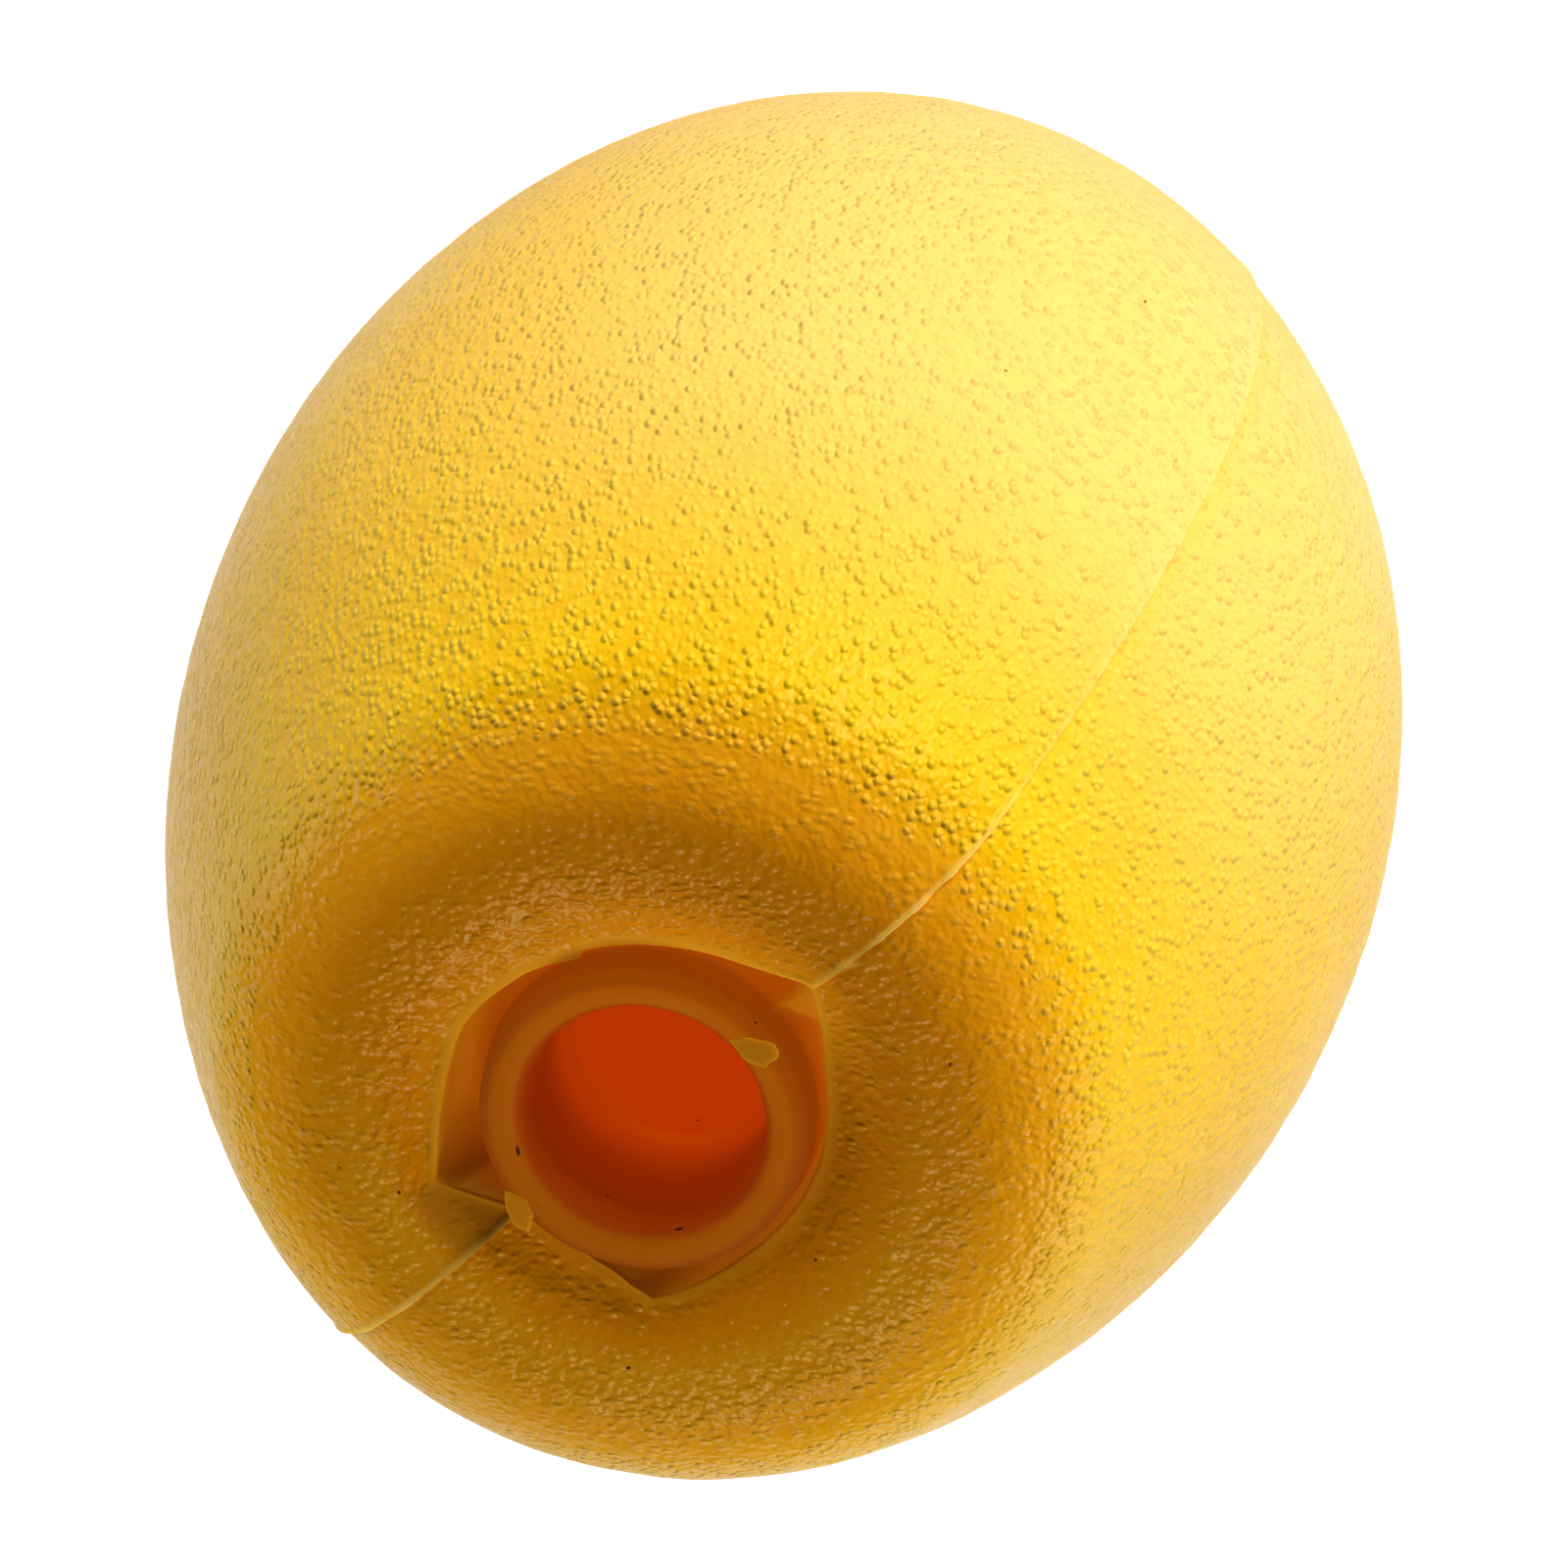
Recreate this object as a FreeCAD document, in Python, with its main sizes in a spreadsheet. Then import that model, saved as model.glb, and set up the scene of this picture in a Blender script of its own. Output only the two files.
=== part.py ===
import FreeCAD, Part
import math
import os
import Sketcher

# Moulded float for an anchor line: a barrel-shaped body with a rope bore along its axis.
# Two mould halves meet on the XZ plane: the first is on the +Y side, and the second, on the
# -Y side, came out a little smaller, so the parting line is a small step. +Z runs along the
# bore, and the origin is at the middle of the ring that the float stands on.

# Driving sizes: lengths in millimetres, and directions round the bore in degrees, counted
# from the parting line on the +X side
SIZES = {
    # barrel body, and how far from the float's end each band of its long curve stops
    "float_length": 211.0,
    "body_radius": 75.0,
    "shoulder_curve": 21.5,
    "end_band": 19.0,
    "flank_band": 39.0,
    "girth_band": 56.5,
    "seam_step": 0.5,
    # standing ring and the dished end inside it
    "ring_outer": 33.0,
    "ring_width": 2.0,
    "dish_depth": 3.7,
    "dish_floor": 1.4,
    # rope bore, its flared mouths and the collar round each mouth
    "bore_radius": 12.0,
    "throat_ledge": 0.9,
    "throat_depth": 19.5,
    "mouth_flare": 2.2,
    "lip_reach": 1.6,
    "lip_drop": 0.9,
    "collar_wall": 4.2,
    "collar_drop": 1.0,
    "collar_edge": 0.8,
    # recess round the collar: its depth below the standing ring, its gap to the collar in
    # each mould half, and how far each corner of its outline stands outside that gap
    "recess_depth": 8.0,
    "first_gap": 1.8,
    "first_ear": 4.0,
    "first_tooth": -0.6,
    "first_tooth_at": 70.5,
    "first_tooth_foot": 69.5,
    "first_flat": 1.3,
    "first_flat_at": 90.0,
    "first_corner": 3.2,
    "first_corner_at": 113.6,
    "first_bend": 3.7,
    "first_bend_at": 138.4,
    "first_tail": 7.2,
    "first_tail_at": 161.5,
    "second_gap": 1.6,
    "second_ear": 2.6,
    "second_ear_at": -13.0,
    "second_hook": 3.8,
    "second_hook_at": -131.2,
    "second_step": 0.9,
    "second_step_at": -144.3,
    "second_heel": 1.9,
    "second_heel_at": -158.0,
    # flash left on the parting line: thin fins on the dished ends, torn flaps on the collar
    "fin_width": 0.6,
    "fin_start": 2.7,
    "fin_drop": 2.3,
    "fin_fade": 0.05,
    "flap_thick": 0.7,
    "flap_overhang": 0.4,
}

START, END, CENTRE = range(1, 4)
TOP, BOTTOM = "top", "bottom"

# Lengths that several features share, as the sheet's own words
HALF_LENGTH = "Sizes.float_length / 2"
RING_INNER = "(Sizes.ring_outer - Sizes.ring_width)"
MOUTH = "(Sizes.bore_radius + Sizes.mouth_flare)"
COLLAR = "(Sizes.bore_radius + Sizes.mouth_flare + Sizes.collar_wall)"
COLLAR_TOP = "(Sizes.float_length / 2 - Sizes.collar_drop)"

half_length = SIZES["float_length"] / 2
mouth_radius = SIZES["bore_radius"] + SIZES["mouth_flare"]
collar_radius = mouth_radius + SIZES["collar_wall"]
collar_top = half_length - SIZES["collar_drop"]


def point(x, y):
    return FreeCAD.Vector(x, y, 0)


def polar(radius, degrees):
    """A sketch point at this radius and direction from the bore's axis."""
    turn = math.radians(degrees)
    return point(radius * math.cos(turn), radius * math.sin(turn))


def make_sheet(doc):
    """Write every driving size into the sheet and name its cell."""
    sheet = doc.addObject("Spreadsheet::Sheet", "Sizes")
    for row, name in enumerate(SIZES, start=1):
        sheet.set("A%d" % row, name)
        sheet.set("B%d" % row, str(SIZES[name]))
        sheet.setAlias("B%d" % row, name)
    doc.recompute()


class Outline:
    """A sketch on one of a body's own planes, whose points are held by the sheet's sizes."""

    def __init__(self, body, name, plane, lift=None):
        self.sketch = body.newObject("Sketcher::SketchObject", name)
        support = [item for item in body.Origin.OriginFeatures if item.Role == plane]
        self.sketch.AttachmentSupport = [(support[0], "")]
        self.sketch.MapMode = "FlatFace"
        if lift:
            self.sketch.setExpression("AttachmentOffset.Base.z", lift)

    def line(self, start, end):
        return self.sketch.addGeometry(Part.LineSegment(start, end), False)

    def arc(self, start, end, centre):
        """An arc that runs anticlockwise from start to end."""
        circle = Part.Circle(centre, FreeCAD.Vector(0, 0, 1), (start - centre).Length)
        first = math.atan2(start.y - centre.y, start.x - centre.x)
        last = math.atan2(end.y - centre.y, end.x - centre.x)
        return self.sketch.addGeometry(Part.ArcOfCircle(circle, first, last), False)

    def hold(self, *what):
        return self.sketch.addConstraint(Sketcher.Constraint(*what))

    def join(self, first, first_end, second, second_end):
        self.hold("Coincident", first, first_end, second, second_end)

    def blend(self, first, first_end, second, second_end):
        self.hold("Tangent", first, first_end, second, second_end)

    def place(self, edge, end, x=None, y=None):
        """Hold an end or centre at x and y, which are sizes in the sheet's words, or zero."""
        spot = self.sketch.getPoint(edge, end)
        for kind, words, value, axis in (("DistanceX", x, spot.x, -2), ("DistanceY", y, spot.y, -1)):
            if words == 0:
                self.hold("PointOnObject", edge, end, axis)
            elif words:
                held = self.hold(kind, -1, 1, edge, end, value)
                self.sketch.setExpression("Constraints[%d]" % held, words)

    def radius(self, edge, words, value):
        held = self.hold("Radius", edge, value)
        self.sketch.setExpression("Constraints[%d]" % held, words)

    def polygon(self, corners, words):
        """Straight sides through the corners, each held at its pair of sizes."""
        edges = []
        for start, end in zip(corners, corners[1:] + corners[:1]):
            edges.append(self.line(start, end))
        for index, edge in enumerate(edges):
            self.join(edges[index - 1], END, edge, START)
            self.place(edge, START, *words[index])
        return edges


def barrel_radius(rim, ring):
    """Radius of the long curve that meets the shoulder curve with no kink."""
    rise = half_length
    inward = rim - ring
    shoulder = SIZES["shoulder_curve"]
    return (inward ** 2 + rise ** 2 - 2 * rise * shoulder) / (2 * (inward - shoulder))


def at_end(side, x, y):
    """A sketch point at this distance towards one end of the float."""
    return point(x, y if side == TOP else -y)


def long_curve(outline, centre, radius, meet):
    """The barrel's long curve as arcs about one centre, so that each face stays light."""
    names = ("end_band", "flank_band", "girth_band")
    heights = [-meet.y] + [SIZES[name] - half_length for name in names]
    heights += [-height for height in reversed(heights)]
    words = ["Sizes.%s - %s" % (name, HALF_LENGTH) for name in names]
    words += ["%s - Sizes.%s" % (HALF_LENGTH, name) for name in reversed(names)]
    spots = [centre + point(math.sqrt(radius ** 2 - height ** 2), height) for height in heights]
    bands = [outline.arc(spots[0], spots[1], centre)]
    outline.place(bands[0], CENTRE, y=0)
    for start, end, held in zip(spots[1:], spots[2:], words):
        band = outline.arc(start, end, centre)
        outline.join(bands[-1], END, band, START)
        outline.join(bands[0], CENTRE, band, CENTRE)
        outline.place(band, START, y=held)
        bands.append(band)
    return bands


def mould_half(body, name, inset, words, reverse):
    """Half of the body: its outline on the parting plane, turned through half a circle."""
    outline = Outline(body, name + "Outline", "XZ_Plane")
    widest = SIZES["body_radius"] - inset
    ring_x = SIZES["ring_outer"] - inset
    inner_x = SIZES["ring_outer"] - SIZES["ring_width"]
    foot_x = collar_radius + SIZES["dish_floor"]
    deep = SIZES["dish_depth"]
    long_radius = barrel_radius(widest, ring_x)
    long_centre = point(widest - long_radius, 0)
    out = point(ring_x, half_length - SIZES["shoulder_curve"]) - long_centre
    meet = long_centre + out.normalize() * long_radius

    bands = long_curve(outline, long_centre, long_radius, meet)
    equator = outline.sketch.addGeometry(Part.Point(point(widest, 0)), True)
    outline.place(equator, START, "Sizes.body_radius" + words, 0)
    outline.hold("PointOnObject", equator, START, bands[len(bands) // 2])

    floors = {}
    for side, barrel, first, last, sign in (
        (TOP, bands[-1], START, END, ""),
        (BOTTOM, bands[0], END, START, "-"),
    ):
        ring_out = at_end(side, ring_x, half_length)
        ring_in = at_end(side, inner_x, half_length)
        foot = at_end(side, foot_x, half_length - deep)
        bend = at_end(side, meet.x, meet.y)
        crest = at_end(side, ring_x, half_length - SIZES["shoulder_curve"])
        if side == TOP:
            shoulder = outline.arc(bend, ring_out, crest)
        else:
            shoulder = outline.arc(ring_out, bend, crest)
        ring = outline.line(ring_out, ring_in)
        dish = outline.line(ring_in, foot)
        floor = outline.line(foot, point(0, foot.y))
        outline.blend(barrel, last, shoulder, first)
        if side == TOP:
            outline.radius(shoulder, "Sizes.shoulder_curve", SIZES["shoulder_curve"])
        outline.blend(shoulder, last, ring, START)
        outline.place(ring, START, "Sizes.ring_outer" + words, sign + HALF_LENGTH)
        outline.hold("Horizontal", ring)
        outline.place(ring, END, RING_INNER)
        outline.join(ring, END, dish, START)
        outline.join(dish, END, floor, START)
        depth = "(%s - Sizes.dish_depth)" % HALF_LENGTH
        outline.place(floor, START, COLLAR + " + Sizes.dish_floor", sign + depth)
        outline.hold("Horizontal", floor)
        outline.place(floor, END, 0)
        floors[side] = floor
    middle = outline.line(point(0, half_length - deep), point(0, deep - half_length))
    outline.join(floors[TOP], END, middle, START)
    outline.join(floors[BOTTOM], END, middle, END)

    half = body.newObject("PartDesign::Revolution", name)
    half.Profile = outline.sketch
    half.ReferenceAxis = (outline.sketch, ["V_Axis"])
    half.Angle = 180.0
    half.Reversed = reverse
    return half


def corner(name):
    """Place and size words of a named corner of the recess outline."""
    gap = name.split("_")[0] + "_gap"
    radius = collar_radius + SIZES[gap] + SIZES[name]
    spot = polar(radius, SIZES[name + "_at"])
    reach = "(%s + Sizes.%s + Sizes.%s)" % (COLLAR, gap, name)
    words = ("%s * cos(Sizes.%s_at)" % (reach, name), "%s * sin(Sizes.%s_at)" % (reach, name))
    return spot, words


def cut_recess(body, name, outline, end):
    """Cut a recess outline from its floor outwards through the dished end."""
    pocket = body.newObject("PartDesign::Pocket", name)
    pocket.Profile = outline.sketch
    pocket.setExpression("Length", "Sizes.recess_depth")
    pocket.Reversed = end == TOP
    return pocket


def recess_level(end):
    level = "(%s - Sizes.recess_depth)" % HALF_LENGTH
    return level if end == TOP else "-" + level


def first_recess(body, name, end):
    """Recess of the first mould half: a round stretch, a tooth, then five flats and the seam."""
    outline = Outline(body, name + "Outline", "XY_Plane", recess_level(end))
    round_radius = collar_radius + SIZES["first_gap"]
    ear_x = round_radius + SIZES["first_ear"]
    touch = math.degrees(math.acos(round_radius / ear_x))
    names = ("first_tooth", "first_flat", "first_corner", "first_bend", "first_tail")
    spots, words = zip(*[corner(name) for name in names])
    back = point(-SIZES["bore_radius"], 0)

    foot = polar(round_radius, SIZES["first_tooth_foot"])
    side = outline.line(point(ear_x, 0), polar(round_radius, touch))
    bow = outline.arc(polar(round_radius, touch), foot, point(0, 0))
    outline.place(side, START, "%s + Sizes.first_gap + Sizes.first_ear" % COLLAR, 0)
    outline.blend(side, END, bow, START)
    outline.join(bow, CENTRE, -1, 1)
    outline.radius(bow, "%s + Sizes.first_gap" % COLLAR, round_radius)
    tooth = outline.line(foot, spots[0])
    outline.join(bow, END, tooth, START)
    outline.place(tooth, START, "(%s + Sizes.first_gap) * cos(Sizes.first_tooth_foot)" % COLLAR)
    last = tooth
    for start, end_spot, held in zip(spots, spots[1:] + (back,), words):
        flat = outline.line(start, end_spot)
        outline.join(last, END, flat, START)
        outline.place(flat, START, *held)
        last = flat
    seam = outline.line(back, point(ear_x, 0))
    outline.join(last, END, seam, START)
    outline.place(seam, START, "-Sizes.bore_radius", 0)
    outline.join(seam, END, side, START)
    return cut_recess(body, name, outline, end)


def second_recess(body, name, end):
    """Recess of the second mould half: it starts and ends short of the seam, with one hook."""
    outline = Outline(body, name + "Outline", "XY_Plane", recess_level(end))
    round_radius = collar_radius + SIZES["second_gap"]
    ear, ear_words = corner("second_ear")
    hook, hook_words = corner("second_hook")
    ear_turn = math.degrees(math.acos(round_radius / ear.Length))
    hook_turn = math.degrees(math.acos(round_radius / hook.Length))
    touch = polar(round_radius, SIZES["second_ear_at"] - ear_turn)
    leave = polar(round_radius, SIZES["second_hook_at"] + hook_turn)
    names = ("second_step", "second_heel")
    spots, words = zip(*[corner(name) for name in names])
    front = point(mouth_radius, 0)
    back = point(-mouth_radius, 0)

    entry = outline.line(front, ear)
    side = outline.line(ear, touch)
    bow = outline.arc(leave, touch, point(0, 0))
    run = outline.line(leave, hook)
    outline.place(entry, START, MOUTH, 0)
    outline.join(entry, END, side, START)
    outline.place(side, START, *ear_words)
    outline.blend(side, END, bow, END)
    outline.join(bow, CENTRE, -1, 1)
    outline.radius(bow, "%s + Sizes.second_gap" % COLLAR, round_radius)
    outline.blend(run, START, bow, START)
    outline.place(run, END, *hook_words)
    last = run
    corners = (hook,) + spots
    held = (None,) + words
    for start, end_spot, sizes in zip(corners, spots + (back,), held):
        flat = outline.line(start, end_spot)
        outline.join(last, END, flat, START)
        if sizes:
            outline.place(flat, START, *sizes)
        last = flat
    seam = outline.line(back, front)
    outline.join(last, END, seam, START)
    outline.place(seam, START, "-" + MOUTH, 0)
    outline.join(seam, END, entry, START)
    return cut_recess(body, name, outline, end)


def turned(body, kind, name, upper):
    """Turn a polygon about the axis: its corners towards +Z, and the same towards -Z."""
    outline = Outline(body, name + "Outline", "XZ_Plane")
    corners = [point(x, y) for x, y, x_words, y_words in upper]
    words = [(x_words, y_words) for x, y, x_words, y_words in upper]
    for x, y, x_words, y_words in reversed(upper):
        corners.append(point(x, -y))
        words.append((x_words, "-" + y_words))
    outline.polygon(corners, words)
    feature = body.newObject("PartDesign::" + kind, name)
    feature.Profile = outline.sketch
    feature.ReferenceAxis = (outline.sketch, ["V_Axis"])
    feature.Angle = 360.0
    return feature


def collars(body):
    """A spindle as wide as the collars, from one collar's top to the other's."""
    edge = SIZES["collar_edge"]
    upper = [
        (0, collar_top, 0, COLLAR_TOP),
        (collar_radius - edge, collar_top, COLLAR + " - Sizes.collar_edge", COLLAR_TOP),
        (collar_radius, collar_top - edge, COLLAR, "(%s - Sizes.collar_edge)" % COLLAR_TOP),
    ]
    return turned(body, "Revolution", "Collars", upper)


def rope_bore(body):
    """Straight bore between two ledges, with a tapered mouth and a bevelled lip at each end."""
    ledge = SIZES["throat_ledge"]
    bore = SIZES["bore_radius"]
    throat = collar_top - SIZES["throat_depth"]
    throat_words = "(%s - Sizes.throat_depth)" % COLLAR_TOP
    upper = [
        (0, collar_top, 0, COLLAR_TOP),
        (mouth_radius + SIZES["lip_reach"], collar_top, MOUTH + " + Sizes.lip_reach", COLLAR_TOP),
        (mouth_radius, collar_top - SIZES["lip_drop"], MOUTH, "(%s - Sizes.lip_drop)" % COLLAR_TOP),
        (bore + ledge, throat, "Sizes.bore_radius + Sizes.throat_ledge", throat_words),
        (bore, throat - ledge, "Sizes.bore_radius", "(%s - Sizes.throat_ledge)" % throat_words),
    ]
    return turned(body, "Groove", "RopeBore", upper)


def flash_fins(body):
    """Thin fins on the parting line, from the recess out to the standing ring."""
    outline = Outline(body, "FinOutline", "XZ_Plane")
    start_x = collar_radius + SIZES["dish_floor"] + SIZES["fin_start"]
    end_x = SIZES["ring_outer"] - SIZES["ring_width"]
    near = "(%s + Sizes.dish_floor + Sizes.fin_start)" % COLLAR
    levels = (
        (SIZES["recess_depth"], "Sizes.recess_depth"),
        (SIZES["fin_drop"], "Sizes.fin_drop"),
        (SIZES["fin_fade"], "Sizes.fin_fade"),
    )
    base, high, low = levels
    for end, end_sign in ((TOP, ""), (BOTTOM, "-")):
        for side_sign in ("", "-"):
            corners = []
            words = []
            for x, x_words, level in (
                (start_x, near, base),
                (end_x, RING_INNER, base),
                (end_x, RING_INNER, low),
                (start_x, near, high),
            ):
                spot = at_end(end, x, half_length - level[0])
                corners.append(point(-spot.x, spot.y) if side_sign else spot)
                words.append((side_sign + x_words, "%s(%s - %s)" % (end_sign, HALF_LENGTH, level[1])))
            outline.polygon(corners, words)
    fins = body.newObject("PartDesign::Pad", "FlashFins")
    fins.Profile = outline.sketch
    fins.setExpression("Length", "Sizes.fin_width")
    fins.SideType = "Symmetric"
    return fins


def torn_flaps(body):
    """Torn flaps of flash that lie on the collar where the parting line crosses it."""
    inner = mouth_radius - SIZES["flap_overhang"]
    inner_words = "(%s - Sizes.flap_overhang)" % MOUTH
    rims = {"in": (inner, inner_words)}
    rims["mid"] = (mouth_radius + SIZES["collar_wall"] / 2, "(%s + Sizes.collar_wall / 2)" % MOUTH)
    rims["out"] = (collar_radius - SIZES["collar_edge"], "(%s - Sizes.collar_edge)" % COLLAR)
    near_flap = (("in", -9), ("mid", -14), ("out", -7), ("out", 3), ("mid", 9), ("in", 3))
    far_flap = (("mid", 169), ("out", 166), ("out", 177), ("out", 186), ("mid", 184), ("in", 177))
    outline = Outline(body, "FlapOutline", "XY_Plane", COLLAR_TOP)
    for flap in (near_flap, far_flap):
        corners = []
        words = []
        for rim, turn in flap:
            radius, radius_words = rims[rim]
            corners.append(polar(radius, turn))
            words.append(("%s * cos(%g)" % (radius_words, turn), "%s * sin(%g)" % (radius_words, turn)))
        outline.polygon(corners, words)
    flaps = body.newObject("PartDesign::Pad", "TornFlaps")
    flaps.Profile = outline.sketch
    flaps.SideType = "Two sides"
    flaps.setExpression("Length", "Sizes.flap_thick")
    flaps.setExpression("Length2", "Sizes.lip_drop")
    return flaps


def float_body(doc):
    """The whole float: one moulding."""
    body = doc.addObject("PartDesign::Body", "FloatBody")
    body.Label = "float_body"
    mould_half(body, "FirstHalf", 0.0, "", False)
    mould_half(body, "SecondHalf", SIZES["seam_step"], " - Sizes.seam_step", True)
    for end, word in ((TOP, "Upper"), (BOTTOM, "Lower")):
        first_recess(body, "First%sRecess" % word, end)
        second_recess(body, "Second%sRecess" % word, end)
    collars(body)
    rope_bore(body)
    flash_fins(body)
    last = torn_flaps(body)
    body.Tip = last
    body.setExpression("Placement.Base.z", HALF_LENGTH)
    return body


def check(doc, body):
    """Stop if any feature failed or the finished shape is not one valid solid."""
    for item in doc.Objects:
        if "Invalid" in item.State or "Error" in item.State:
            raise RuntimeError("failed: %s %s" % (item.Name, item.State))
    shape = body.Shape
    if shape.isNull() or not shape.isValid():
        raise RuntimeError("%s has no valid shape" % body.Label)
    if len(shape.Solids) != 1:
        raise RuntimeError("%s has %d solids" % (body.Label, len(shape.Solids)))


doc = FreeCAD.newDocument("anchor_float")
make_sheet(doc)
body = float_body(doc)
doc.recompute()
check(doc, body)
os.makedirs("parts", exist_ok=True)
body.Shape.exportStep("parts/%s.step" % body.Label)
print("volume cm3", round(body.Shape.Volume / 1000, 1))
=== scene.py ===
import bpy
import numpy as np
from mathutils import Matrix


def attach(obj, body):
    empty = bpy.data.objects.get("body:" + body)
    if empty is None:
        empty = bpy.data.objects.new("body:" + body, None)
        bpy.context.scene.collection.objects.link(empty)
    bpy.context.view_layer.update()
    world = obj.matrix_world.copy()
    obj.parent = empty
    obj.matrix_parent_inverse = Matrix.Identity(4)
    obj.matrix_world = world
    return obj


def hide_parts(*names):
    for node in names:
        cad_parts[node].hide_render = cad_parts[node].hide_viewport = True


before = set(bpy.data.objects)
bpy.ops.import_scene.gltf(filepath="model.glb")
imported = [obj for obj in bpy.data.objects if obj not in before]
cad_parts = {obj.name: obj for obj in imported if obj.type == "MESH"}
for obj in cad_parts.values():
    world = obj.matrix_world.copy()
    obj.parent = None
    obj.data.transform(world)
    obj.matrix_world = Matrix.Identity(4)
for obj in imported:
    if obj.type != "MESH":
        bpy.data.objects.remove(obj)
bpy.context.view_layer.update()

# Float body. One moulding in yellow foam plastic, made in a two-part mould. The first mould
# half, on +Y, stands half a millimetre proud of the second along the parting line. Each end is
# a shallow dish round a recess, a collar and the tapered mouth of the bore.

mm = 0.001

# the barrel, the ring that it stands on, and the dish inside the ring
half_length = 105.5
body_radius = 75.0
flash_room = 0.1
seam_step = 0.5
long_curve = 203.85
shoulder = 21.5
shoulder_foot = 93.9
ring_outer = 33.0
ring_inner = 31.0
dish_depth = 3.7
dish_foot = 19.8

# the bore and its mouth
bore = 12.0
witness_line = 79.6
witness_depth = 0.07
ledge = 0.9
ledge_start = 84.1
throat_top = 85.0
mouth = 13.5
mouth_shift = (-0.4, 0.1)
lip_round = 2.3

# the collar, and the recess round it
collar = 18.3
collar_crest = 16.1
collar_top = 105.25
collar_edge = 1.9
collar_shift = (-0.8, -0.05)
collar_foot = 19.0
gutter_floor = 97.5
gutter_round = 1.1
gutter_gap = 0.55
recess_radius = 21.0
cliff_lean = 0.28
rim_round = 0.5
rim_out = 0.3
facet_drop = 1.2

# columns of the mesh: even ones in each half, and close ones beside the parting line
turns_per_half = 150
seam_offsets = np.array([0.0, 0.07, 0.2, 0.38, 0.62, 0.95])
seam_gap = 1.35
far_from_seam = 9.0

# share of outside light that the painted shade takes from one corner of the first half's dish
corner_shade = 0.34


def smooth(low, high, x):
    """0 below low, 1 above high, and the cubic 3t^2 - 2t^3 between them."""
    t = np.clip((x - low) / (high - low), 0.0, 1.0)
    return t * t * (3.0 - 2.0 * t)


def bell(x, middle, width):
    """1 in the middle and falling off as exp(-u^2), with u the distance over the width."""
    return np.exp(-(((x - middle) / width) ** 2))


def dish_height(r):
    """Height of the dished end: a drop below the ring that grows with the first and second
    power of the distance inwards from the ring."""
    t = (ring_inner - r) / (ring_inner - dish_foot)
    return half_length - dish_depth * (0.45 * t + 0.55 * t * np.abs(t))


def recess_edge(degrees, corners):
    """Radius of the recess outline at each direction: straight sides between the corners,
    which are given as (radius, direction) pairs, each side cut into short steps."""
    r, turn = np.array(corners, float).T
    xy = np.stack([r * np.cos(np.radians(turn)), r * np.sin(np.radians(turn))], 1)
    steps = np.linspace(0.0, 1.0, 40, endpoint=False)[:, None, None]
    path = (xy[:-1] + steps * (xy[1:] - xy[:-1])).transpose(1, 0, 2).reshape(-1, 2)
    path = np.vstack([path, xy[-1:]])
    at = np.degrees(np.unwrap(np.arctan2(path[:, 1], path[:, 0])))
    order = np.argsort(at)
    return np.interp(degrees, at[order], np.hypot(path[:, 0], path[:, 1])[order])


first_outline = [
    (25.2, 0.0), (24.8, 3.0), (23.0, 9.8), (21.8, 17.0), (21.1, 25.0), (20.6, 33.0),
    (20.2, 41.4), (20.1, 49.8), (20.1, 60.0), (20.25, 67.5), (20.25, 68.8), (19.35, 71.1),
    (19.5, 74.4), (20.25, 81.2), (20.9, 88.4), (21.4, 97.1), (22.1, 104.9), (22.6, 112.2),
    (22.7, 118.3), (22.9, 129.8), (23.7, 143.1), (25.4, 156.1), (26.1, 159.5), (20.4, 180.0),
]
second_outline = [
    (20.4, -180.0), (20.4, -152.0), (20.9, -145.0), (22.0, -138.5), (23.1, -131.8),
    (22.5, -126.0), (21.6, -117.0), (20.7, -107.0), (20.1, -94.0), (19.8, -83.0),
    (19.7, -72.0), (19.7, -60.0), (19.7, -50.0), (19.9, -37.5), (20.8, -23.5),
    (22.8, -11.0), (24.3, -4.0), (25.2, 0.0),
]


def plane_waves(points, count, short, long, seed):
    """Slow unevenness of a moulded skin: the mean of cosine waves that run in random
    directions with wavelengths from short to long, scaled to about -1 to 1."""
    rng = np.random.default_rng(seed)
    way = rng.normal(size=(3, count))
    way /= np.linalg.norm(way, axis=0)
    way *= 2.0 * np.pi / rng.uniform(short, long, count)
    total = np.zeros(points.shape[:-1])
    for k, phase in zip(way.T, rng.uniform(0.0, 2.0 * np.pi, count)):
        total += np.cos(points @ k + phase)
    return total / np.sqrt(count / 2.0) / 1.6


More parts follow.
